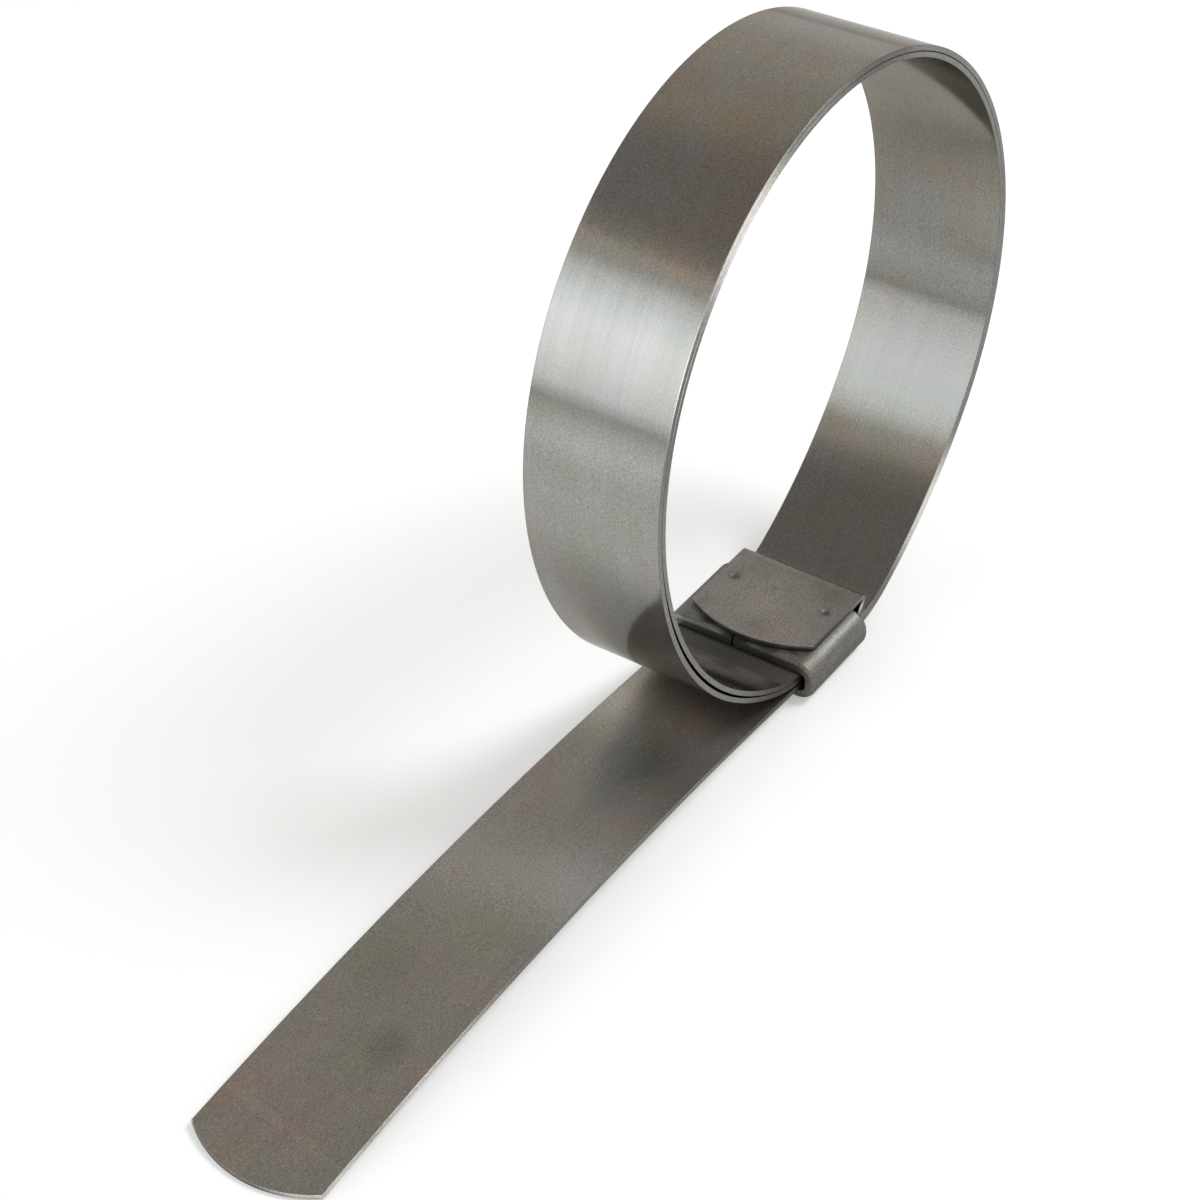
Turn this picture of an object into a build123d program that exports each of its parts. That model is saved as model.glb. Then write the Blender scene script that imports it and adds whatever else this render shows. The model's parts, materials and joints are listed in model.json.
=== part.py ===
from build123d import *
import math
import os

# Double-wrapped steel band clamp, in millimetres. The clamped pipe's axis is Y, through
# the origin, +Z is up, and the free tail of the band leaves towards -X.

# Driving dimensions of the clamp
pipe_radius = 33.0          # largest pipe that the loose clamp takes
ring_slack = 0.2            # how much wider than that pipe the loose ring stands
band_width = 15.9
band_thickness = 0.6
lay_gap = 0.05              # play between faces of metal that lie on each other

# Ring: the angles around its centre where the wraps leave the round part for the buckle
tail_side_angle = 191.0     # inner wrap, on the tail's side
tail_side_spread = 13.0     # how much sooner the outer wrap does, which opens a thin gap
far_side_angle = -35.0      # both wraps, on the other side
tail_side_bend = 17.0       # radius of the tight bend into the buckle, on the tail's side
bend_inset = 2.5            # how far inside the buckle's mouth that bend starts
far_side_bend = 13.0        # the same on the other side, where it starts at the mouth

# Tongue: the end of the band, folded back over the buckle's inner wall
tongue_setback = 0.4        # from the buckle's mouth to the tip of the tongue
web_gap = 0.5               # from the buckle's other mouth to the corner under the fold
fold_inner_radius = 0.1
web_angle = 47.0            # slant of the short web between the fold and the first layer
web_radius = 0.6            # where the web turns into the first layer, on its under side
end_radius = 14.0           # round ends of the tongue and the tail
mark_radius = 0.6           # press marks that key the tongue to the buckle
mark_depth = 0.15
mark_spacing = 12.0
mark_reach = 2.95           # from the buckle's mouth at the fold back to the marks

# Buckle: a thick strip folded round the layers, with its ends butted under the tongue
buckle_length = 11.6
buckle_thickness = 1.2
buckle_offset = -1.85       # middle of the buckle, from the pipe's axis
bend_radius = 0.8           # inside the folds along both sides
roll_flat = 0.3             # flat stretch left between the two bends of each side
corner_play = 0.08          # play beside the corners of the layers
floor_play = 0.1            # play under the lowest layer, where it enters
lay_angle = 1.0             # how much the layers climb towards the tail inside the buckle
seam_width = 0.25
seam_offset = 0.9           # from the middle of the band
edge_round = 0.5            # rounding of the outer edges at both mouths

# Tail: the free end that the tightening tool pulls
tail_length = 84.8          # from the buckle's mouth to the tip
tail_rise = 2.7             # average climb of the first short stretch
tail_rise_length = 5.0


def direction(angle):
    """Unit vector at an angle in degrees, in the plane of the ring."""
    return Vector(math.cos(math.radians(angle)), math.sin(math.radians(angle)))


# Places worked out from the sizes above
layer_pitch = band_thickness + lay_gap
half_band = band_thickness / 2
tail_mouth = buckle_offset - buckle_length / 2
far_mouth = buckle_offset + buckle_length / 2
bend_start = tail_mouth + bend_inset
ring_center = Vector(0, -ring_slack)
inner_wrap_radius = pipe_radius + ring_slack + half_band
leftward = direction(180 - lay_angle)

tongue_level = -pipe_radius - half_band
wall_top = -pipe_radius - layer_pitch
ceiling = wall_top - buckle_thickness

slant = math.tan(math.radians(lay_angle))
steepest = math.asin(math.sin(math.radians(lay_angle)) + bend_inset / (tail_side_bend - half_band))
mouth_rise = (tail_side_bend - half_band) * (math.cos(math.radians(lay_angle)) - math.cos(steepest))


def in_layer(number, x):
    """Point at x on the middle of a layer in the buckle, counted from the pipe outwards."""
    first_level = ceiling - lay_gap - mouth_rise - half_band
    return Vector(x, first_level - (number - 1) * layer_pitch - (x - bend_start) * slant)


floor = in_layer(3, far_mouth).Y - half_band - floor_play
underside = floor - buckle_thickness

corner_reach = math.sqrt(bend_radius**2 - (bend_radius - lay_gap) ** 2)
side_play = bend_radius - corner_reach + corner_play
end_sagitta = end_radius - math.sqrt(end_radius**2 - (band_width / 2) ** 2)
cut_margin = 0.2            # how far the cutters stand out of the metal


def bend_joint(near, near_dir, away, away_dir, radius, turn):
    """Where a tight bend that starts at the buckle meets the slack arc to the round part."""
    tight_center = near + near_dir.rotate(Axis.Z, turn) * radius
    away_normal = away_dir.rotate(Axis.Z, turn)
    across = away - tight_center
    slack_radius = (radius**2 - across.dot(across)) / (2 * (across.dot(away_normal) + radius))
    slack_center = away + away_normal * slack_radius
    return tight_center + (tight_center - slack_center).normalized() * radius


def tongue_and_fold():
    """Middle line of the tongue, the fold beyond the buckle's wall and the first layer."""
    tip = Vector(tail_mouth + tongue_setback, tongue_level)
    web_corner = in_layer(1, far_mouth + web_gap)
    drop = tongue_level - web_corner.Y
    fold_corner = Vector(web_corner.X + drop / math.tan(math.radians(web_angle)), tongue_level)
    start_of_ring = in_layer(1, bend_start)
    radii = (fold_inner_radius + half_band, web_radius + half_band)
    path = FilletPolyline(tip, fold_corner, web_corner, start_of_ring, radius=radii)
    return path.edges().sort_by(path)


def wrap(number, leave_angle):
    """One turn of the ring, from a layer in the buckle up and round to the next layer."""
    nesting = (number - 1) * layer_pitch
    radius = inner_wrap_radius + nesting
    start = in_layer(number, bend_start)
    end = in_layer(number + 1, far_mouth)
    up = ring_center + direction(leave_angle) * radius
    down = ring_center + direction(far_side_angle) * radius
    up_dir = direction(leave_angle - 90)
    down_dir = direction(far_side_angle - 90)
    tail_joint = bend_joint(start, leftward, up, up_dir, tail_side_bend + nesting, -90)
    far_joint = bend_joint(end, -leftward, down, -down_dir, far_side_bend + nesting, 90)
    rise = TangentArc(start, tail_joint, tangent=leftward)
    rise_slack = TangentArc(tail_joint, up, tangent=rise % 1)
    ring = TangentArc(up, down, tangent=up_dir)
    fall_slack = TangentArc(down, far_joint, tangent=down_dir)
    fall = TangentArc(far_joint, end, tangent=fall_slack % 1)
    return [rise, rise_slack, ring, fall_slack, fall]


def layer(number):
    """A straight stretch through the buckle."""
    return [Line(in_layer(number, far_mouth), in_layer(number, bend_start))]


def tail():
    """Middle line of the tail: a short stretch that climbs, then one long droop."""
    start = in_layer(3, bend_start)
    knee = start + direction(180 - tail_rise) * tail_rise_length
    tip = Vector(tail_mouth - tail_length, underside + half_band)
    rise = TangentArc(start, knee, tangent=leftward)
    return [rise, TangentArc(knee, tip, tangent=rise % 1)]


def beside(edge, shift):
    """A line or arc of the path, moved sideways."""
    start = (edge @ 0) + (edge % 0).rotate(Axis.Z, 90) * shift
    end = (edge @ 1) + (edge % 1).rotate(Axis.Z, 90) * shift
    if edge.geom_type == GeomType.LINE:
        return Line(start, end)
    return TangentArc(start, end, tangent=edge % 0)


def band_path():
    """Middle line of the whole strip, from the tongue's tip to the tail's tip."""
    path = tongue_and_fold()
    path += wrap(1, tail_side_angle) + layer(2)
    path += wrap(2, tail_side_angle - tail_side_spread) + layer(3)
    return path + tail()


def round_end(tip):
    """What is cut from the strip to leave a round end that points to -X."""
    depth = end_sagitta + 2 * cut_margin
    corner = Box(depth, band_width + 2 * cut_margin, 3 * band_thickness)
    corner = Pos(depth / 2 - cut_margin, 0, 0) * corner
    rounding = Pos(end_radius, 0, 0) * Cylinder(end_radius, 6 * band_thickness)
    return Pos(tip.X, 0, tip.Y) * (corner - rounding)


def press_mark(side):
    """A shallow round dent in the top of the tongue, to one side of the middle."""
    ball_radius = (mark_radius**2 + mark_depth**2) / (2 * mark_depth)
    top = tongue_level + half_band
    ball = Sphere(ball_radius)
    return Pos(far_mouth - mark_reach, side * mark_spacing / 2, top + ball_radius - mark_depth) * ball


def make_band():
    """The whole band: one strip, bent along its path, with two round ends and two press marks."""
    path = band_path()
    outer = [beside(edge, half_band) for edge in path]
    inner = [beside(edge, -half_band) for edge in path]
    ends = [Line(outer[0] @ 0, inner[0] @ 0), Line(outer[-1] @ 1, inner[-1] @ 1)]
    section = make_face(Wire(outer + inner + ends))
    strip = extrude(Plane.XZ * section, band_width / 2, both=True)
    strip -= [round_end(path[0] @ 0), round_end(path[-1] @ 1)]
    strip -= [press_mark(side) for side in (-1, 1)]
    return strip


def make_buckle():
    """The sleeve: a thick sheet folded round the layers, with a seam in its inner wall."""
    height = ceiling - floor
    width = band_width + 2 * side_play
    outer_height = height + 2 * buckle_thickness
    outer_width = width + 2 * buckle_thickness
    outer_section = RectangleRounded(outer_width, outer_height, (outer_height - roll_flat) / 2)
    inner_section = RectangleRounded(width, height, bend_radius)
    sleeve = extrude(Plane.YZ * outer_section, buckle_length / 2, both=True)
    mouths = sleeve.faces().sort_by(Axis.X)
    sleeve = fillet(mouths[0].edges() + mouths[-1].edges(), edge_round)
    sleeve -= extrude(Plane.YZ * inner_section, buckle_length, both=True)
    seam = Box(2 * buckle_length, seam_width, 2 * buckle_thickness)
    sleeve -= Pos(0, seam_offset, height / 2 + buckle_thickness) * seam
    return Pos(buckle_offset, 0, (ceiling + floor) / 2) * sleeve


if __name__ == "__main__":
    os.makedirs("parts", exist_ok=True)
    band = make_band()
    export_step(band, "parts/band.step")
    print(band.is_valid, band.volume, band.bounding_box())
    buckle = make_buckle()
    export_step(buckle, "parts/buckle.step")
    print(buckle.is_valid, buckle.volume, buckle.bounding_box())
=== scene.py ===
"""Studio view of the double-wrapped band clamp: its strip and its buckle, dressed in worn satin steel."""
import bpy
import json
import math
from mathutils import Matrix, Vector

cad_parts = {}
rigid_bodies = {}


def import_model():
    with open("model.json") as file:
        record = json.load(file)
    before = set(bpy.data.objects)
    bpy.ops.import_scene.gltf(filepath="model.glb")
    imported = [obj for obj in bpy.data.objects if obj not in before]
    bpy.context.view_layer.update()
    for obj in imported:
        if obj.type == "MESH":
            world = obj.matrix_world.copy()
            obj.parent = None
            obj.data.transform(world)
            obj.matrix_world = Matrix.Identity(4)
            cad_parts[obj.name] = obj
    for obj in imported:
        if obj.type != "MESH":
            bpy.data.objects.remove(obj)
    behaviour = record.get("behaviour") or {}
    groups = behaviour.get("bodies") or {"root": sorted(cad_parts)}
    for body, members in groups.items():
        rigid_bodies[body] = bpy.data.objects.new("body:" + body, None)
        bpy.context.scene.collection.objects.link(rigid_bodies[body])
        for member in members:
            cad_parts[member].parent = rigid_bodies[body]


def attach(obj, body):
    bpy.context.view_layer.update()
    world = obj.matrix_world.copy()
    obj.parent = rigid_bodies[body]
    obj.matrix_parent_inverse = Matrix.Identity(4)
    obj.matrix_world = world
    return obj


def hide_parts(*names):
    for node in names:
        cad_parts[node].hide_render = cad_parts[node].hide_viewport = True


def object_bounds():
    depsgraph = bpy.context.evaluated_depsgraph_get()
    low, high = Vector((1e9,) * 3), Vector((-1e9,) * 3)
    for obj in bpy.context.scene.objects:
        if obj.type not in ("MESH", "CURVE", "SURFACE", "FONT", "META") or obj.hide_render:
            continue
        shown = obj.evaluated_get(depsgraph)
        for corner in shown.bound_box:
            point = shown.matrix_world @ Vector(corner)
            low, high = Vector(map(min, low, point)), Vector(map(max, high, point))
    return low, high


for leftover in list(bpy.data.objects):
    bpy.data.objects.remove(leftover)
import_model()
cad_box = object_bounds()
MM = 0.001

# Sizes of the clamp, as in the part's source
pipe_radius = 33.0 * MM
ring_slack = 0.2 * MM
band_width = 15.9 * MM
band_thickness = 0.6 * MM
lay_gap = 0.05 * MM

# Ring
tail_side_angle = 191.0
tail_side_spread = 13.0
far_side_angle = -35.0
tail_side_bend = 17.0 * MM
bend_inset = 2.5 * MM
far_side_bend = 13.0 * MM

# Tongue
tongue_setback = 0.4 * MM
web_gap = 0.5 * MM
fold_inner_radius = 0.1 * MM
web_angle = 47.0
web_radius = 0.6 * MM
end_radius = 14.0 * MM
mark_radius = 0.6 * MM
mark_depth = 0.15 * MM
mark_spacing = 12.0 * MM
mark_reach = 2.95 * MM

# Buckle
buckle_length = 11.6 * MM
buckle_thickness = 1.2 * MM
buckle_offset = -1.85 * MM
bend_radius = 0.8 * MM
roll_flat = 0.3 * MM
corner_play = 0.08 * MM
floor_play = 0.1 * MM
lay_angle = 1.0
seam_width = 0.25 * MM
seam_offset = 0.9 * MM
edge_round = 0.5 * MM

# Tail
tail_length = 84.8 * MM
tail_rise = 2.7
tail_rise_length = 5.0 * MM

# Softened edges, which the part's source leaves sharp
slit_round = 0.1 * MM
sheet_round = 0.07 * MM
sheet_soften_angle = 50     # edges of the sheet that are sharper than this are softened
strip_crease = 24           # shading stays smooth over angles below this
sheet_crease = 40

# How finely the meshes are cut
cells_across = 26
step_angle = 1.6
tight_step_angle = 9.0
tight_radius = 2.0 * MM     # bends under this radius take the tight steps
fewest_steps = 4
tail_steps = 24
tongue_end_run = 3.4 * MM   # first stretch of the tongue, longer than its end is round
slit_segments = 3
fold_segments = 12
mouth_segments = 6
soft_segments = 2
punch_segments = 64
punch_rings = 48
tiny = 0.001 * MM

# Where one finish of the strip gives way to the next
# The last finish is a painted highlight on the near outer corner of the ring.
OUTER_SIDE, CUT_EDGE, INNER_SIDE, TONGUE, TAIL, CORNER_HIGHLIGHT = range(6)
side_slope = 0.25           # sideways share of a normal, from which a face is part of the cut edge
corner_slope = 0.9          # up to here it is its rounded corner
corner_lean = 0.3           # how much such a corner leans outwards, against sideways
fold_reach = 2.0 * MM       # from the buckle's mouth to past the fold
mouth_stretch = 5.0 * MM    # first stretch of the tail
mouth_drop = 2.55 * MM      # how far that stretch lies under the tongue at least
tail_drop = 1.5 * MM        # the same for the rest of the tail


# The band's route, in the plane of the ring: x to the right, z up
def heading(angle):
    """Unit vector at an angle in degrees."""
    return Vector((math.cos(math.radians(angle)), math.sin(math.radians(angle))))


def turned_left(way):
    """A way, turned left by a right angle."""
    return Vector((-way.y, way.x))


def cross(a, b):
    """Cross product of two ways: above nought if the second lies to the left."""
    return a.x * b.y - a.y * b.x


layer_pitch = band_thickness + lay_gap
half_band = band_thickness / 2
tail_mouth = buckle_offset - buckle_length / 2
far_mouth = buckle_offset + buckle_length / 2
bend_start = tail_mouth + bend_inset
ring_center = Vector((0, -ring_slack))
inner_wrap_radius = pipe_radius + ring_slack + half_band
leftward = heading(180 - lay_angle)
tongue_level = -pipe_radius - half_band
ceiling = -pipe_radius - layer_pitch - buckle_thickness
lean = math.radians(lay_angle)
steepest = math.asin(math.sin(lean) + bend_inset / (tail_side_bend - half_band))
mouth_rise = (tail_side_bend - half_band) * (math.cos(lean) - math.cos(steepest))


def in_layer(number, x):
    """Point at x on the middle of a layer in the buckle, counted from the pipe outwards."""
    first_level = ceiling - lay_gap - mouth_rise - half_band
    return Vector((x, first_level - (number - 1) * layer_pitch - (x - bend_start) * math.tan(lean)))


buckle_floor = in_layer(3, far_mouth).y - half_band - floor_play
underside = buckle_floor - buckle_thickness
sleeve_height = ceiling - buckle_floor
corner_reach = math.sqrt(bend_radius**2 - (bend_radius - lay_gap) ** 2)
sleeve_width = band_width + 2 * (bend_radius - corner_reach + corner_play)
outer_height = sleeve_height + 2 * buckle_thickness
outer_width = sleeve_width + 2 * buckle_thickness
outer_bend = (outer_height - roll_flat) / 2


def bend_joint(near, near_way, away, away_way, radius, side):
    """Where a tight bend that starts at the buckle meets the slack arc to the round part."""
    tight_center = near + turned_left(near_way) * side * radius
    away_normal = turned_left(away_way) * side
    across = away - tight_center
    slack_radius = (radius**2 - across.dot(across)) / (2 * (across.dot(away_normal) + radius))
    slack_center = away + away_normal * slack_radius
    return tight_center + (tight_center - slack_center).normalized() * radius


def corner(point, way_in, way_out, radius):
    """Where a rounded corner of the route starts and ends."""
    turn = math.atan2(cross(way_in, way_out), way_in.dot(way_out))
    trim = radius * math.tan(abs(turn) / 2)
    return point - way_in * trim, point + way_out * trim


def wrap(number, leave_angle):
    """The bends of one turn of the ring, from a layer in the buckle round to the next one."""
    nesting = (number - 1) * layer_pitch
    radius = inner_wrap_radius + nesting
    start = in_layer(number, bend_start)
    end = in_layer(number + 1, far_mouth)
    up = ring_center + heading(leave_angle) * radius
    down = ring_center + heading(far_side_angle) * radius
    up_way = heading(leave_angle - 90)
    down_way = heading(far_side_angle - 90)
    tail_joint = bend_joint(start, leftward, up, up_way, tail_side_bend + nesting, -1)
    far_joint = bend_joint(end, -leftward, down, -down_way, far_side_bend + nesting, 1)
    return [("bend", tail_joint), ("bend", up), ("bend", down), ("bend", far_joint), ("bend", end)]


def band_route():
    """Tip of the tongue, and then every run and bend up to the tip of the tail."""
    tip = Vector((tail_mouth + tongue_setback, tongue_level))
    web_corner = in_layer(1, far_mouth + web_gap)
    drop = tongue_level - web_corner.y
    fold_corner = Vector((web_corner.x + drop / math.tan(math.radians(web_angle)), tongue_level))
    web_way = (web_corner - fold_corner).normalized()
    fold_in, fold_out = corner(fold_corner, heading(0), web_way, fold_inner_radius + half_band)
    web_in, web_out = corner(web_corner, web_way, leftward, web_radius + half_band)
    route = [("run", tip + Vector((tongue_end_run, 0))), ("run", fold_in), ("bend", fold_out)]
    route += [("run", web_in), ("bend", web_out), ("run", in_layer(1, bend_start))]
    route += wrap(1, tail_side_angle) + [("run", in_layer(2, bend_start))]
    route += wrap(2, tail_side_angle - tail_side_spread) + [("run", in_layer(3, bend_start))]
    knee = in_layer(3, bend_start) + heading(180 - tail_rise) * tail_rise_length
    tail_tip = Vector((tail_mouth - tail_length, underside + half_band))
    return tip, route + [("bend", knee), ("bend", tail_tip)]


def in_space(point, y=0.0):
    """A point or a way of the route's plane, as a vector in space."""
    return Vector((point.x, y, point.y))


# Modelling by hand
def take_up(name):
    """Names the object in hand and its mesh."""
    piece = bpy.context.object
    piece.name = name
    piece.data.name = name
    return piece


def nothing_selected():
    """Leaves edit mode and deselects every object."""
    if bpy.context.object and bpy.context.object.mode != "OBJECT":
        bpy.ops.object.mode_set(mode="OBJECT")
    bpy.ops.object.select_all(action="DESELECT")


def pick(piece, kind, wanted):
    """In edit mode, selects the vertices or edges whose place passes a test."""
    bpy.ops.mesh.select_all(action="DESELECT")
    bpy.ops.mesh.select_mode(type=kind)
    bpy.ops.object.mode_set(mode="OBJECT")
    points = piece.data.vertices
    if kind == "VERT":
        for point in points:
            point.select = wanted(point.co)
    else:
        for edge in piece.data.edges:
            edge.select = wanted(*[points[i].co for i in edge.vertices])
    bpy.ops.object.mode_set(mode="EDIT")


def wire_section(center, height, width, corner_radius, segments):
    """A wire rectangle with round corners, standing across the band, left in edit mode."""
    nothing_selected()
    bpy.ops.mesh.primitive_plane_add(size=1, location=center, rotation=(0, math.pi / 2, 0))
    section = bpy.context.object
    section.scale = (height, width, 1)
    bpy.ops.object.transform_apply(location=True, rotation=True, scale=True)
    bpy.ops.object.mode_set(mode="EDIT")
    bpy.ops.mesh.delete(type="ONLY_FACE")
    pick(section, "VERT", lambda co: True)
    bpy.ops.mesh.bevel(offset=corner_radius, segments=segments, affect="VERTICES")
    return section


def settle_normals(piece, crease):
    """Smooth shading that keeps the flats flat and breaks at sharp edges."""
    nothing_selected()
    piece.select_set(True)
    bpy.context.view_layer.objects.active = piece
    bpy.ops.object.shade_smooth_by_angle(angle=math.radians(crease))
    weights = piece.modifiers.new("flats", "WEIGHTED_NORMAL")
    weights.keep_sharp = True
    weights.mode = "FACE_AREA_WITH_ANGLE"
    bpy.ops.object.modifier_apply(modifier=weights.name)


# The strip
def sweep_strip(tip, route):
    """The slit section, carried along every run and bend of the route."""
    strip = wire_section(in_space(tip), band_thickness, band_width, slit_round, slit_segments)
    take_up("band_strip")
    pick(strip, "EDGE", lambda a, b: abs(a.y - b.y) > band_width / 2)
    bpy.ops.mesh.subdivide(number_cuts=cells_across - 1)
    bpy.ops.mesh.select_all(action="SELECT")
    here = tip
    way = heading(0)
    for kind, there in route:
        chord = there - here
        if kind == "run":
            bpy.ops.mesh.extrude_region_move(TRANSFORM_OT_translate={"value": in_space(chord)})
        else:
            half_turn = math.atan2(cross(way, chord), way.dot(chord))
            radius = chord.length / (2 * math.sin(half_turn))
            center = in_space(here + turned_left(way) * radius)
            coarse = tight_step_angle if abs(radius) < tight_radius else step_angle
            steps = max(fewest_steps, math.ceil(abs(math.degrees(2 * half_turn)) / coarse))
            if there == route[-1][1]:
                steps = tail_steps
            axis = (0, math.copysign(1, half_turn), 0)
            bpy.ops.mesh.spin(steps=steps, angle=abs(2 * half_turn), center=center, axis=axis)
            way = (Matrix.Rotation(2 * half_turn, 2) @ way).normalized()
        here = there
    return strip, way


def sagitta(y):
    """How far a round end stands back from its tip at a distance from the middle."""
    return end_radius - math.sqrt(end_radius**2 - y**2)


def off_middle(point, tip, way):
    """Height of a point over the middle plane of the strip near one of its ends."""
    return point.z - tip.y - (point.x - tip.x) * way.y / way.x


def round_end(strip, tip, way):
    """Draws the open rim at a tip back to a round end, and closes it along the middle."""
    bpy.ops.mesh.select_all(action="DESELECT")
    bpy.ops.mesh.select_mode(type="VERT")
    bpy.ops.mesh.select_non_manifold()
    bpy.ops.object.mode_set(mode="OBJECT")
    points = strip.data.vertices
    rim = [p.index for p in points if p.select and (p.co - in_space(tip, p.co.y)).length < band_thickness]
    bpy.ops.object.mode_set(mode="EDIT")
    bpy.ops.mesh.select_all(action="DESELECT")
    bpy.ops.object.mode_set(mode="OBJECT")
    for index in rim:
        point = strip.data.vertices[index]
        shift = tip.x + sagitta(point.co.y) - point.co.x
        point.co += Vector((shift, 0, shift * way.y / way.x))
        point.select = True
    bpy.ops.object.mode_set(mode="EDIT")
    bpy.ops.mesh.extrude_region_move(TRANSFORM_OT_translate={"value": (0, 0, 0)})
    bpy.ops.object.mode_set(mode="OBJECT")
    for point in strip.data.vertices:
        if point.select:
            point.co.z -= off_middle(point.co, tip, way)
    bpy.ops.object.mode_set(mode="EDIT")
    bpy.ops.mesh.remove_doubles(threshold=tiny)


def on_rim(point, tip, way):
    """Whether a point lies on the sharp rim of a round end, and not on its middle line."""
    off_arc = abs(point.x - tip.x - sagitta(point.y))
    return off_arc < tiny and 10 * tiny < abs(off_middle(point, tip, way)) < band_thickness


def press_mark(strip, side):
    """A shallow round dent in the top of the tongue, to one side of the middle."""
    ball_radius = (mark_radius**2 + mark_depth**2) / (2 * mark_depth)
    top = tongue_level + half_band
    center = (far_mouth - mark_reach, side * mark_spacing / 2, top + ball_radius - mark_depth)
    nothing_selected()
    bpy.ops.mesh.primitive_uv_sphere_add(
        segments=punch_segments, ring_count=punch_rings, radius=ball_radius, location=center)
    punch = bpy.context.object
    bpy.context.view_layer.objects.active = strip
    dent = strip.modifiers.new("dent", "BOOLEAN")
    dent.operation = "DIFFERENCE"
    dent.solver = "EXACT"
    dent.object = punch
    bpy.ops.object.modifier_apply(modifier=dent.name)
    bpy.data.objects.remove(punch)


def finish_of(face, tip, tail_tip):
    """Number of a face's finish, by where on the strip it lies and which way it faces."""
    at = face.center
    outward = face.normal.x * at.x + face.normal.z * at.z
    sideways = abs(face.normal.y)
    on_tongue = abs(at.z - tongue_level) < band_thickness and at.x < far_mouth + fold_reach
    drop = tail_drop if at.x < tail_mouth - mouth_stretch else mouth_drop
    on_tail = at.x < tail_mouth and at.z < tongue_level - drop
    end = tip if on_tongue else tail_tip
    on_end = at.x < end.x + sagitta(at.y) + 0.6 * slit_round
    on_side = sideways > side_slope and abs(at.y) > band_width / 2 - 2 * slit_round
    if on_side or on_end:
        on_near_corner = -corner_slope < face.normal.y < -side_slope
        leans_out = outward > corner_lean * sideways * pipe_radius
        # Faces of the ring's near outer corner get the painted highlight.
        highlit = on_near_corner and leans_out and not (on_tail or on_tongue)
        return CORNER_HIGHLIGHT if highlit else CUT_EDGE
    if on_tongue:
        return TONGUE
    if on_tail:
        return TAIL
    return INNER_SIDE if outward < 0 else OUTER_SIDE


def make_strip():
    """The band as one strip, with round ends, softened slit edges and two press marks."""
    tip, route = band_route()
    tail_tip = route[-1][1]
    strip, tail_way = sweep_strip(tip, route)
    round_end(strip, tip, heading(0))
    round_end(strip, tail_tip, tail_way)
    bpy.ops.mesh.select_all(action="SELECT")
    bpy.ops.mesh.normals_make_consistent(inside=False)
    for end, way in ((tip, heading(0)), (tail_tip, tail_way)):
        pick(strip, "EDGE", lambda a, b: on_rim(a, end, way) and on_rim(b, end, way))
        bpy.ops.mesh.bevel(offset=slit_round, segments=soft_segments, affect="EDGES")
    bpy.ops.mesh.select_all(action="SELECT")
    bpy.ops.mesh.dissolve_degenerate(threshold=5 * tiny)
    bpy.ops.object.mode_set(mode="OBJECT")
    for side in (-1, 1):
        press_mark(strip, side)
    for face in strip.data.polygons:
        face.material_index = finish_of(face, tip, tail_tip)
    settle_normals(strip, strip_crease)
    return strip


# The buckle
def on_outer_fold(point, middle):
    """Whether a point is on the outside of the sleeve rather than on its inside."""
    over_side = max(0.0, abs(point.y) - (outer_width / 2 - outer_bend))
    over_flat = max(0.0, abs(point.z - middle.z) - (outer_height / 2 - outer_bend))
    return math.hypot(over_side, over_flat) > outer_bend - 50 * tiny


def make_buckle():
    """The sleeve: a thick sheet folded round the layers, with its ends butted at a seam."""
    middle = Vector((tail_mouth, 0, (ceiling + buckle_floor) / 2))
    seam_sides = [seam_offset - seam_width / 2, seam_offset + seam_width / 2]
    loops = []
    for height, width, bend in ((outer_height, outer_width, outer_bend),
                                (sleeve_height, sleeve_width, bend_radius)):
        loop = wire_section(middle, height, width, bend, fold_segments)
        for at in seam_sides:
            bpy.ops.mesh.select_all(action="SELECT")
            bpy.ops.mesh.bisect(plane_co=(0, at, 0), plane_no=(0, 1, 0))
        pick(loop, "EDGE", lambda a, b: a.z > middle.z and abs((a.y + b.y) / 2 - seam_offset) < tiny)
        bpy.ops.mesh.delete(type="EDGE")
        bpy.ops.object.mode_set(mode="OBJECT")
        loops.append(loop)
    loops[0].select_set(True)
    bpy.ops.object.join()
    sleeve = take_up("buckle_sleeve")
    bpy.ops.object.mode_set(mode="EDIT")
    for at in seam_sides:
        pick(sleeve, "VERT", lambda co: abs(co.y - at) < tiny and co.z > middle.z)
        bpy.ops.mesh.edge_face_add()
    bpy.ops.mesh.select_all(action="SELECT")
    bpy.ops.mesh.edge_face_add()
    bpy.ops.mesh.select_all(action="SELECT")
    bpy.ops.mesh.extrude_region_move(TRANSFORM_OT_translate={"value": (buckle_length, 0, 0)})
    bpy.ops.mesh.select_all(action="SELECT")
    bpy.ops.mesh.normals_make_consistent(inside=False)
    pick(sleeve, "EDGE", lambda a, b: abs(a.x - b.x) < tiny
         and on_outer_fold(a, middle) and on_outer_fold(b, middle))
    bpy.ops.mesh.bevel(offset=edge_round, segments=mouth_segments, affect="EDGES")
    bpy.ops.object.mode_set(mode="OBJECT")
    soften = sleeve.modifiers.new("soften", "BEVEL")
    soften.width = sheet_round
    soften.segments = soft_segments
    soften.angle_limit = math.radians(sheet_soften_angle)
    bpy.ops.object.modifier_apply(modifier=soften.name)
    settle_normals(sleeve, sheet_crease)
    return sleeve


# Parts of the finishes
def place(tree, kind, **settings):
    """A new node with its settings."""
    node = tree.nodes.new(kind)
    for name, value in settings.items():
        setattr(node, name, value)
    return node


def join(tree, source, target):
    """Puts a number or colour on a socket, or links another node's output to it."""
    if isinstance(source, bpy.types.NodeSocket):
        tree.links.new(source, target)
    else:
        target.default_value = source


def maths(tree, operation, first, second=0.0, third=0.0, clamp=False):
    """One sum on up to three numbers, each given or from another node."""
    node = place(tree, "ShaderNodeMath", operation=operation, use_clamp=clamp)
    for socket, value in zip(node.inputs, (first, second, third)):
        join(tree, value, socket)
    return node.outputs[0]


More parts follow.
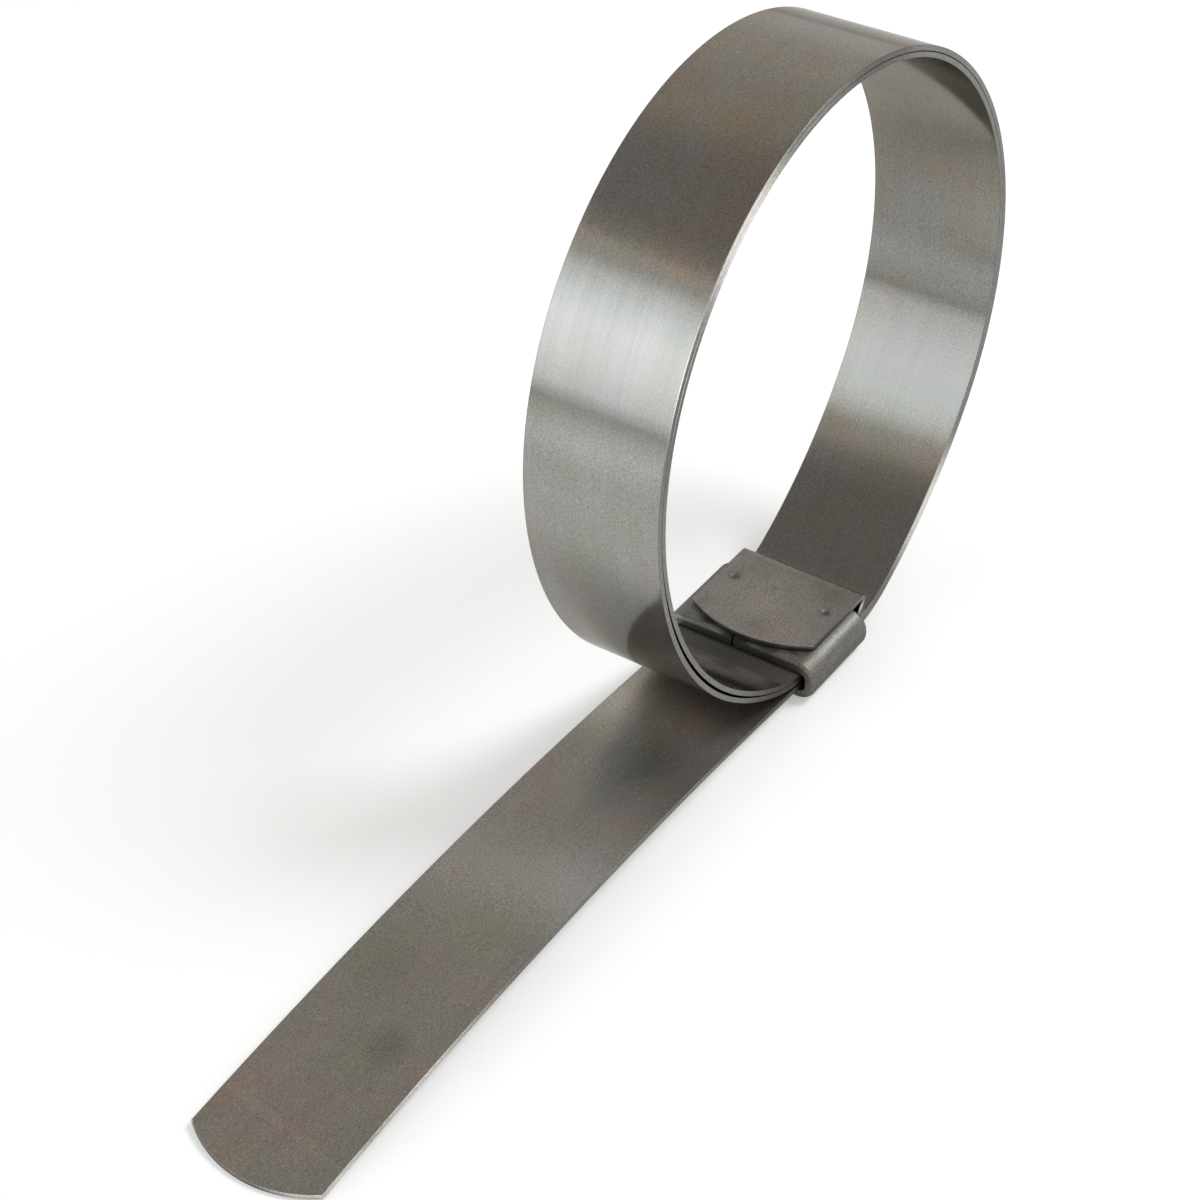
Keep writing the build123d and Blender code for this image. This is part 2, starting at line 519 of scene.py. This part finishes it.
def blend_colors(tree, share, first, second, kind="MIX"):
    """Mixes two colours. Sockets 6 and 7 and output 2 are the colour ones of the node."""
    node = place(tree, "ShaderNodeMix", data_type="RGBA", blend_type=kind, clamp_result=True)
    join(tree, share, node.inputs["Factor"])
    join(tree, first, node.inputs[6])
    join(tree, second, node.inputs[7])
    return node.outputs[2]


def remap(tree, value, low, high, to_low, to_high, easing="LINEAR"):
    """Carries the range from low to high over to another one, and holds it there."""
    node = place(tree, "ShaderNodeMapRange", interpolation_type=easing)
    for socket, number in zip(node.inputs, (value, low, high, to_low, to_high)):
        join(tree, number, socket)
    return node.outputs[0]


def mapped(tree, point, setting, value):
    """The point, moved by Location or stretched by Scale."""
    mapping = place(tree, "ShaderNodeMapping")
    join(tree, point, mapping.inputs["Vector"])
    mapping.inputs[setting].default_value = value
    return mapping.outputs[0]


def noise_at(tree, point, scale, detail=2.0, roughness=0.5):
    """Soft noise in space, round a half. The scale counts its lumps in a metre."""
    node = place(tree, "ShaderNodeTexNoise")
    join(tree, point, node.inputs["Vector"])
    node.inputs["Scale"].default_value = scale
    node.inputs["Detail"].default_value = detail
    node.inputs["Roughness"].default_value = roughness
    return node.outputs["Fac"]


def blotches(tree, point, scale, bare_up_to, full_from):
    """Soft-edged blotches: nought where a broad noise is low, one where it is high."""
    clouds = noise_at(tree, point, scale, detail=2.5, roughness=0.55)
    return remap(tree, clouds, bare_up_to, full_from, 0, 1, "SMOOTHSTEP")


def new_group(name, inputs, outputs):
    """A shader node group with named numbers and colours in and out."""
    group = bpy.data.node_groups.new(name, "ShaderNodeTree")
    for label, kind, start in inputs:
        socket = group.interface.new_socket(label, in_out="INPUT", socket_type=kind)
        socket.default_value = start
    for label, kind in outputs:
        group.interface.new_socket(label, in_out="OUTPUT", socket_type=kind)
    return group, place(group, "NodeGroupInput"), place(group, "NodeGroupOutput")


straw_tint = (1.04, 0.93, 0.72, 1)
shadow_and_dirt_dims = 0.6            # share of the colour that full painted shadow and dirt takes away
shadow_and_dirt_dulls = 0.4           # what it adds to the roughness


def make_rolled_finish():
    """Grain along the strip, fine speckle, and warm and green stains, under patches of painted light and
    shade (and a few stains), and under painted shadow with some dirt that also dulls.
    """
    number, color = "NodeSocketFloat", "NodeSocketColor"
    group, given, out = new_group("rolled finish", [
        ("Steel", color, (0.42, 0.42, 0.41, 1)),
        ("Warm Stain", color, (0.44, 0.39, 0.36, 1)),
        ("Green Stain", color, (0.40, 0.42, 0.37, 1)),
        ("Grain", number, 0.1),
        ("Speckle", number, 0.1),
        ("Stains", number, 0.5),
        ("Smoothest", number, 0.2),
        ("Dullest", number, 0.3),
        # The two inputs below paint light and shade: the first brightens or darkens patches (painted
        # highlights, reflections and shade, and a few stains), the second paints shadow in hollows and under
        # the tongue, with some dirt, and also dulls the steel.
        ("Painted Light and Stains", number, 1.0),
        ("Painted Shadow and Dirt", number, 0.0),
        ("Straw", number, 0.0),
    ], [("Color", color), ("Roughness", number), ("Height", number)])
    point = place(group, "ShaderNodeTexCoord").outputs["Object"]
    grain = noise_at(group, mapped(group, point, "Scale", (1, 60, 1)), scale=70, detail=4, roughness=0.6)
    broad_grain = noise_at(group, mapped(group, point, "Scale", (1, 9, 1)), scale=55)
    speckle = noise_at(group, point, scale=5600, detail=1.5, roughness=0.6)
    warm = blotches(group, point, scale=95, bare_up_to=0.46, full_from=0.66)
    elsewhere = mapped(group, point, "Location", (0.31, 0.17, 0.53))
    green = blotches(group, elsewhere, scale=120, bare_up_to=0.48, full_from=0.68)

    tinted = given.outputs["Steel"]
    for blotch, stain in ((warm, "Warm Stain"), (green, "Green Stain")):
        share = maths(group, "MULTIPLY", blotch, given.outputs["Stains"])
        tinted = blend_colors(group, share, tinted, given.outputs[stain])
    tinted = blend_colors(group, given.outputs["Straw"], tinted, straw_tint, "MULTIPLY")

    shadow_and_dirt = maths(group, "MULTIPLY", given.outputs["Painted Shadow and Dirt"], 1.0, clamp=True)
    level = 1.0
    for pattern, strength in ((grain, "Grain"), (broad_grain, "Grain"), (speckle, "Speckle")):
        uneven = maths(group, "SUBTRACT", pattern, 0.5)
        level = maths(group, "MULTIPLY_ADD", uneven, given.outputs[strength], level)
    # Here the colour is brightened or darkened by the painted light and shade patches, then darkened by the
    # painted shadow with dirt.
    level = maths(group, "MULTIPLY", level, given.outputs["Painted Light and Stains"])
    level = maths(group, "MULTIPLY", level, maths(group, "MULTIPLY_ADD", shadow_and_dirt, -shadow_and_dirt_dims, 1.0))
    gray = place(group, "ShaderNodeCombineColor")
    for socket in gray.inputs[:3]:
        join(group, level, socket)
    join(group, blend_colors(group, 1.0, tinted, gray.outputs[0], "MULTIPLY"), out.inputs["Color"])

    wear = maths(group, "MULTIPLY", maths(group, "ADD", grain, warm), 0.5)
    clean = remap(group, wear, 0.2, 0.75, given.outputs["Smoothest"], given.outputs["Dullest"])
    join(group, maths(group, "MULTIPLY_ADD", shadow_and_dirt, shadow_and_dirt_dulls, clean), out.inputs["Roughness"])
    join(group, maths(group, "MULTIPLY_ADD", speckle, 0.5, grain), out.inputs["Height"])
    return group


rolled_finish = make_rolled_finish()
edge_on_tint = (0.62, 0.6, 0.57, 1)     # of the steel where it is seen nearly edge-on


def new_steel(name, relief, **looks):
    """A steel with the rolled finish, its own colours and its own depth of grain."""
    steel = bpy.data.materials.new(name)
    steel.use_nodes = True
    tree = steel.node_tree
    surface = tree.nodes["Principled BSDF"]
    surface.inputs["Metallic"].default_value = 1.0
    surface.inputs["Specular Tint"].default_value = edge_on_tint
    finish = place(tree, "ShaderNodeGroup", node_tree=rolled_finish)
    for label, value in looks.items():
        finish.inputs[label.replace("_", " ")].default_value = value
    bump = place(tree, "ShaderNodeBump")
    bump.inputs["Strength"].default_value = 1.0
    bump.inputs["Distance"].default_value = relief
    join(tree, finish.outputs["Height"], bump.inputs["Height"])
    join(tree, finish.outputs["Color"], surface.inputs["Base Color"])
    join(tree, finish.outputs["Roughness"], surface.inputs["Roughness"])
    join(tree, bump.outputs["Normal"], surface.inputs["Normal"])
    return steel


def patch(tree, point, middle, reach, turn=0.0):
    """A soft oval patch: one in its middle, nought from its rim on. Sizes in millimetres."""
    oval = place(tree, "ShaderNodeMapping", vector_type="TEXTURE")
    join(tree, point, oval.inputs["Vector"])
    oval.inputs["Location"].default_value = [MM * value for value in middle]
    oval.inputs["Rotation"].default_value = (0, 0, math.radians(turn))
    oval.inputs["Scale"].default_value = [MM * value for value in reach]
    from_middle = place(tree, "ShaderNodeVectorMath", operation="LENGTH")
    join(tree, oval.outputs[0], from_middle.inputs[0])
    return remap(tree, from_middle.outputs["Value"], 0, 1, 1, 0, "SMOOTHSTEP")


def add_marks(steel, socket, marks):
    """Adds soft patches to one number of a steel's finish.

    A mark is its strength, and then its patch: middle, reach and, if it is turned, its angle.
    A reach of 20 mm or more in y takes in the whole width of the band.
    """
    tree = steel.node_tree
    finish = next(node for node in tree.nodes if node.type == "GROUP")
    point = place(tree, "ShaderNodeTexCoord").outputs["Object"]
    total = finish.inputs[socket].default_value
    for strength, *shape in marks:
        total = maths(tree, "MULTIPLY_ADD", patch(tree, point, *shape), strength, total)
    join(tree, total, finish.inputs[socket])


# Finishes of the strip
near = -7.9     # y of the strip's edge on the camera's side, in millimetres
# Painted shade on the near cut edges at the bottom of the ring, and a painted highlight on them lower down
# on its right; both finishes of the near edge share these.
edge_highlights_and_shade = [
    (-0.6, (-10, near, -34), (17, 3, 7)),
    (2.6, (19, near, -29), (11, 1.5, 10))]


def make_satin_steel():
    """Outer side of the ring: smooth, with clean grain where it mirrors the bright screen, and painted
    patches of light and shade on its reflections.
    """
    steel = new_steel(
        "satin band steel", 0.0006 * MM,
        Steel=(0.425, 0.425, 0.415, 1), Warm_Stain=(0.44, 0.39, 0.36, 1), Green_Stain=(0.40, 0.42, 0.37, 1),
        Grain=0.16, Speckle=1.1, Stains=0.9, Smoothest=0.09, Dullest=0.13)
    # Painted light and shade: patches that brighten or darken the steel's reflections at places round the
    # outer side.
    add_marks(steel, "Painted Light and Stains", [
        (0.28, (8, 0, 33.5), (7, 30, 6)),
        (-0.2, (15.3, 0, 31), (5, 30, 5)),
        (0.3, (-33.6, 0, 8.4), (4, 30, 4)),
        (0.15, (-34.1, 0, -5), (6, 30, 6)),
        (0.16, (-29, 0, -18.5), (7, 30, 7))])
    add_marks(steel, "Speckle", [(-0.85, (-29.6, 0, 17.5), (10, 40, 12))])
    add_marks(steel, "Stains", [(-0.75, (-29.6, 0, 17.5), (10, 40, 12))])
    add_marks(steel, "Grain", [(0.08, (-29.6, 0, 17.5), (12, 40, 14))])
    add_marks(steel, "Straw", [
        (0.65, (-11.6, -1.5, 32.8), (4, 4.5, 4)),
        (0.3, (-24.2, -4, 25), (2.4, 6, 2.6)),
        (0.3, (-13, 4, 32), (6, 3, 4))])
    return steel


def make_slit_steel():
    """Cut edges: rougher and darker, with painted highlights and painted shade along stretches of them, and
    painted shadow on the tongue's edges.
    """
    steel = new_steel(
        "cut edge", 0.002 * MM,
        Steel=(0.3, 0.3, 0.29, 1), Warm_Stain=(0.3, 0.28, 0.26, 1), Green_Stain=(0.27, 0.28, 0.255, 1),
        Grain=0.35, Speckle=1.1, Stains=0.6, Smoothest=0.3, Dullest=0.45)
    # Painted highlights on the near cut edges on the ring's left and lower right, along the tail and round
    # its end, and a painted glint by the fold; painted shade on them at the bottom, the left and the top.
    add_marks(steel, "Painted Light and Stains", edge_highlights_and_shade + [
        (2.5, (-20, near, 28), (11, 1.5, 13)),
        (-0.25, (-32, near, 14), (7, 3, 11)),
        (-0.35, (3, near, 33), (13, 3, 6)),
        (2.6, (5.6, near, -34.6), (0.9, 1.5, 0.9)),
        (1.9, (-76, near, -36.4), (17, 2, 6)),
        (2.6, (-88, -5.5, -37.4), (7, 6, 4))])
    # Painted shadow, which also dulls the steel, on the tongue's cut edges.
    add_marks(steel, "Painted Shadow and Dirt", [(0.8, (-1, 0, -33.3), (11, 14, 1.2))])
    return steel


def make_inner_steel():
    """Inner side of the ring: a little darker, with painted light and shade on it, and dull with painted
    shadow down beside the buckle.
    """
    steel = new_steel(
        "inner band steel", 0.0008 * MM,
        Steel=(0.35, 0.35, 0.34, 1), Warm_Stain=(0.36, 0.33, 0.295, 1), Green_Stain=(0.33, 0.345, 0.31, 1),
        Grain=0.14, Speckle=1.2, Stains=0.8, Smoothest=0.1, Dullest=0.1)
    # Painted light and shade on the inner side's reflections, and painted shade down in the hollow beside
    # the buckle.
    add_marks(steel, "Painted Light and Stains", [
        (-0.22, (31, 0, 15), (9, 20, 15)),
        (0.27, (24.7, 0, -22.2), (5.5, 30, 5.5)),
        (-0.1, (30.5, 0, -13), (4, 30, 4)),
        (-0.1, (29, 0, -16.5), (4, 30, 4)),
        (-0.4, (-12, 0, -34.5), (9, 30, 5))])
    for end_of_range in ("Smoothest", "Dullest"):
        add_marks(steel, end_of_range, [
            (0.3, (-11, 0, -34), (12, 30, 9)),
            (0.12, (19, 0, 27), (16, 40, 14))])
    add_marks(steel, "Speckle", [(-0.9, (28, 0, -18), (9, 40, 11))])
    add_marks(steel, "Stains", [(-0.6, (28, 0, -18), (9, 40, 11))])
    add_marks(steel, "Straw", [
        (0.4, (31, 0, 14), (12, 40, 22)),
        (0.6, (22.6, 5.5, -24.4), (2.4, 4, 2.6)),
        (0.4, (-12, 0, -34.5), (10, 30, 6))])
    add_marks(steel, "Grain", [(-0.12, (-12, 0, -34.5), (12, 30, 7))])
    # Painted shadow, which also dulls the steel, in the hollow beside the buckle.
    add_marks(steel, "Painted Shadow and Dirt", [(1.0, (-9, 0, -35), (12, 20, 7))])
    return steel


def make_tongue_steel():
    """The tongue: dull and speckled, with painted shade in its two press marks and along its fold, and soft
    lighter and darker patches.
    """
    steel = new_steel(
        "dull tongue steel", 0.0012 * MM,
        Steel=(0.39, 0.38, 0.37, 1), Warm_Stain=(0.4, 0.355, 0.34, 1), Green_Stain=(0.34, 0.345, 0.32, 1),
        Grain=0.1, Speckle=1.6, Stains=1.0, Smoothest=0.4, Dullest=0.5)
    # Painted shade in the two press marks, and soft lighter and darker patches over the tongue.
    add_marks(steel, "Painted Light and Stains", [
        (-0.3, (1.0, 6.0, -33), (0.95, 0.95, 1)),
        (-0.3, (1.0, -6.0, -33), (0.95, 0.95, 1)),
        (0.1, (-1.5, 0.6, -33), (3.5, 3.5, 1)),
        (-0.16, (-5.4, -0.4, -33), (2.2, 3, 1)),
        (-0.12, (3.6, 4.2, -33), (2.6, 3.4, 1)),
        (-0.15, (3.6, -5.4, -33), (2.2, 2.6, 1)),
        (-0.14, (-4.5, 6.5, -33), (2, 2, 1))])
    # Painted shadow, which also dulls the steel, in the press marks, in a spot and a patch, and along the
    # fold.
    add_marks(steel, "Painted Shadow and Dirt", [
        (0.8, (1.0, 6.0, -33), (1.3, 1.2, 1)),
        (0.8, (1.0, -6.0, -33), (1.2, 1.1, 1)),
        (0.5, (1.6, 1.0, -33), (0.6, 0.6, 1)),
        (0.3, (4.6, -3.2, -33), (1.4, 2.4, 1)),
        (0.35, (4.9, 2, -33.2), (0.7, 16, 1))])
    return steel


def make_tail_steel():
    """The tail: rougher than the ring, with a few soft patches of painted light and shade, and a faint light
    line and lighter tip painted as if it bent slightly near its end.
    """
    steel = new_steel(
        "tail steel", 0.001 * MM,
        Steel=(0.425, 0.42, 0.415, 1), Warm_Stain=(0.45, 0.39, 0.365, 1), Green_Stain=(0.40, 0.415, 0.37, 1),
        Grain=0.14, Speckle=1.3, Stains=0.8, Smoothest=0.3, Dullest=0.36)
    # Painted light and shade: lighter where the ring's reflection falls and in a patch midway, two darker
    # patches further out, and a painted light line and lighter tip for a slight bend near the end.
    add_marks(steel, "Painted Light and Stains", [
        (0.6, (-21, 0, -35.4), (9, 30, 8)),
        (0.25, (-50, 1, -35), (9, 30, 9), 8),
        (-0.2, (-73.9, -3, -36.1), (4, 3.4, 3)),
        (-0.1, (-66, 3, -35.7), (8, 6, 4)),
        (0.08, (-85.9, 1.6, -37.2), (0.9, 26, 3), -8),
        (0.08, (-92, 0, -37.8), (7, 16, 3))])
    add_marks(steel, "Straw", [
        (0.5, (-90, 2.2, -37.7), (3.2, 3.4, 3)),
        (0.4, (-86.5, 7.6, -37.3), (4, 2, 3)),
        (0.3, (-66, 5.5, -35.7), (4, 2.6, 3))])
    return steel


def make_corner_steel():
    """The ring's outer corner on the camera's side, with a bright line painted along its cut edge as a
    highlight.
    """
    steel = new_steel(
        "corner painted highlight", 0.002 * MM,
        Steel=(0.3, 0.3, 0.295, 1), Warm_Stain=(0.3, 0.28, 0.26, 1), Green_Stain=(0.28, 0.29, 0.27, 1),
        Grain=0.5, Speckle=0.8, Stains=0.5, Smoothest=0.3, Dullest=0.4)
    # Painted highlights along the corner on the left of the ring and lower on its right, and painted shade
    # on it at the bottom and the top.
    add_marks(steel, "Painted Light and Stains", edge_highlights_and_shade + [
        (2.4, (-20, near, 28), (11, 1.5, 13)),
        (2.6, (-30, near, 18), (7, 2, 11)),
        (-0.4, (3, near, 33), (13, 3, 6))])
    return steel


# Finish of the buckle
def make_buckle_steel():
    """The sleeve: darker and duller than the strip, with painted shadow round the mouth under the tongue."""
    steel = new_steel(
        "dull buckle steel", 0.0015 * MM,
        Steel=(0.23, 0.235, 0.222, 1), Warm_Stain=(0.235, 0.217, 0.2, 1), Green_Stain=(0.21, 0.222, 0.2, 1),
        Grain=0.12, Speckle=1.6, Stains=0.8, Smoothest=0.44, Dullest=0.54)
    # Painted shadow, which also dulls the steel: on the mouth's end faces, on the wall's top just under the
    # tongue's round end, and low in the mouth.
    add_marks(steel, "Painted Shadow and Dirt", [
        (0.6, (-7.6, 5.2, -35.2), (1.1, 4.6, 3)),
        (1.0, (-7.6, -3.6, -35.2), (1.3, 5, 2)),
        (1.6, (-7.3, 0.5, -33.7), (0.9, 3.2, 0.9)),
        (1.5, (-6.9, -3.4, -33.65), (1.0, 2.6, 1)),
        (1.1, (-6.1, -6, -33.65), (1.1, 2, 1)),
        (1.2, (-6.6, 4.6, -33.65), (0.9, 2.4, 1)),
        (0.7, (-7, 0, -36), (3, 8, 2.2))])
    return steel


# The finishes go on the strip in the order of their numbers
strip = make_strip()
for make_finish in (make_satin_steel, make_slit_steel, make_inner_steel,
                    make_tongue_steel, make_tail_steel, make_corner_steel):
    strip.data.materials.append(make_finish())
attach(strip, "root")
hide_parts("band")

sleeve = make_buckle()
sleeve.data.materials.append(make_buckle_steel())
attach(sleeve, "root")
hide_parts("buckle")

# Studio: a pale floor, a broad soft light beyond the ring and a key light over it
floor_size = 6.0
floor_lift = 0.3            # glow of the paper where the camera sees it, so that it comes out white
mirrored_lift = 0.04        # the same where the steel mirrors it
world_level = 2.0
screen_from = (60, 95)      # degrees round the vertical, from +X, over which the screen begins
screen_to = (200, 240)      # and over which it ends

# Light from each height, from 0 at the horizon to 1 overhead, off the screen and on it
open_side_stops = [
    (0.0, (0.34, 0.335, 0.33)),
    (0.29, (0.29, 0.28, 0.26)),
    (0.52, (0.255, 0.24, 0.21)),
    (0.69, (0.21, 0.19, 0.168)),
    (0.82, (0.195, 0.176, 0.153)),
    (0.9, (0.14, 0.125, 0.11)),
    (1.0, (0.14, 0.125, 0.11))]
screen_side_stops = [
    (0.0, (0.38, 0.38, 0.38)),
    (0.03, (0.45, 0.45, 0.45)),
    (0.06, (0.57, 0.58, 0.58)),
    (0.25, (0.75, 0.76, 0.76)),
    (0.4, (0.8, 0.82, 0.82)),
    (0.5, (0.68, 0.71, 0.71)),
    (0.6, (0.48, 0.49, 0.47)),
    (0.655, (0.29, 0.275, 0.255)),
    (0.7, (0.31, 0.27, 0.235)),
    (0.74, (0.18, 0.165, 0.15)),
    (0.8, (0.13, 0.12, 0.11)),
    (1.0, (0.12, 0.11, 0.1))]

key_place = (0.34, -0.34, 0.62)
key_target = (0, 0, 0)
key_size = 0.3
key_power = 3.0

# The camera stands where the photograph was taken from
camera_place = Vector((-198.34, -120.47, 155.13)) * MM
camera_target = Vector((-33.28, 0, -10.49)) * MM
camera_roll = -2.1
camera_lens = 79.92
camera_sensor = 36


def make_floor():
    """A sheet of paper that shows white to the camera and still takes the clamp's shadow."""
    nothing_selected()
    bpy.ops.mesh.primitive_plane_add(size=floor_size, location=(0, 0, cad_box[0].z))
    ground = take_up("studio_floor")
    paper = bpy.data.materials.new("studio paper")
    paper.use_nodes = True
    tree = paper.node_tree
    surface = tree.nodes["Principled BSDF"]
    surface.inputs["Base Color"].default_value = (0.86, 0.88, 0.9, 1)
    surface.inputs["Roughness"].default_value = 0.9
    surface.inputs["Specular IOR Level"].default_value = 0.0
    surface.inputs["Emission Color"].default_value = (1, 1, 1, 1)
    rays = place(tree, "ShaderNodeLightPath")
    mirrored = maths(tree, "MAXIMUM", rays.outputs["Is Glossy Ray"], rays.outputs["Is Transmission Ray"])
    mirrored = maths(tree, "MULTIPLY", mirrored, mirrored_lift)
    seen = maths(tree, "MULTIPLY", rays.outputs["Is Camera Ray"], floor_lift)
    join(tree, maths(tree, "MAXIMUM", seen, mirrored), surface.inputs["Emission Strength"])
    ground.data.materials.append(paper)


def ramp(tree, value, stops):
    """A colour for each value, blended from one stop to the next."""
    node = place(tree, "ShaderNodeValToRGB")
    band = node.color_ramp
    while len(band.elements) < len(stops):
        band.elements.new(0.5)
    for element, (where, color) in zip(band.elements, stops):
        element.position = where
        element.color = (*color, 1)
    join(tree, value, node.inputs["Fac"])
    return node.outputs["Color"]


def make_world():
    """A studio whose light depends on the direction: a bright screen low on one side, dim above."""
    world = bpy.data.worlds.new("studio")
    world.use_nodes = True
    bpy.context.scene.world = world
    tree = world.node_tree
    sky = tree.nodes["Background"]
    toward = place(tree, "ShaderNodeTexCoord").outputs["Generated"]
    parts = place(tree, "ShaderNodeSeparateXYZ")
    join(tree, toward, parts.inputs[0])
    side = maths(tree, "ARCTAN2", parts.outputs["Y"], parts.outputs["X"])
    side = maths(tree, "MULTIPLY", side, 180 / math.pi)
    around = maths(tree, "WRAP", side, 360.0, 0.0)
    onto = remap(tree, around, *screen_from, 0, 1, "SMOOTHSTEP")
    off = remap(tree, around, *screen_to, 1, 0, "SMOOTHSTEP")
    open_side = ramp(tree, parts.outputs["Z"], open_side_stops)
    screen_side = ramp(tree, parts.outputs["Z"], screen_side_stops)
    color = blend_colors(tree, maths(tree, "MULTIPLY", onto, off), open_side, screen_side)
    join(tree, color, sky.inputs["Color"])
    sky.inputs["Strength"].default_value = world_level


def facing(where, toward):
    """The turn of a lamp or camera that looks from one place to another, with its top up."""
    return (Vector(toward) - Vector(where)).to_track_quat("-Z", "Y")


def make_key_light():
    """A soft lamp high up on the camera's right."""
    data = bpy.data.lights.new("key_light", "AREA")
    data.size = key_size
    data.energy = key_power
    lamp = bpy.data.objects.new("key_light", data)
    bpy.context.scene.collection.objects.link(lamp)
    lamp.location = key_place
    lamp.rotation_euler = facing(key_place, key_target).to_euler()


def make_camera():
    """The camera, aimed at its target and tilted by its roll."""
    data = bpy.data.cameras.new("photo_camera")
    data.lens = camera_lens
    data.sensor_width = camera_sensor
    camera = bpy.data.objects.new("photo_camera", data)
    bpy.context.scene.collection.objects.link(camera)
    level_turn = facing(camera_place, camera_target).to_matrix().to_4x4()
    tilt = Matrix.Rotation(math.radians(camera_roll), 4, "Z")
    camera.matrix_world = Matrix.Translation(camera_place) @ level_turn @ tilt
    bpy.context.scene.camera = camera


make_floor()
make_world()
make_key_light()
make_camera()
bpy.context.scene.view_settings.view_transform = "Standard"
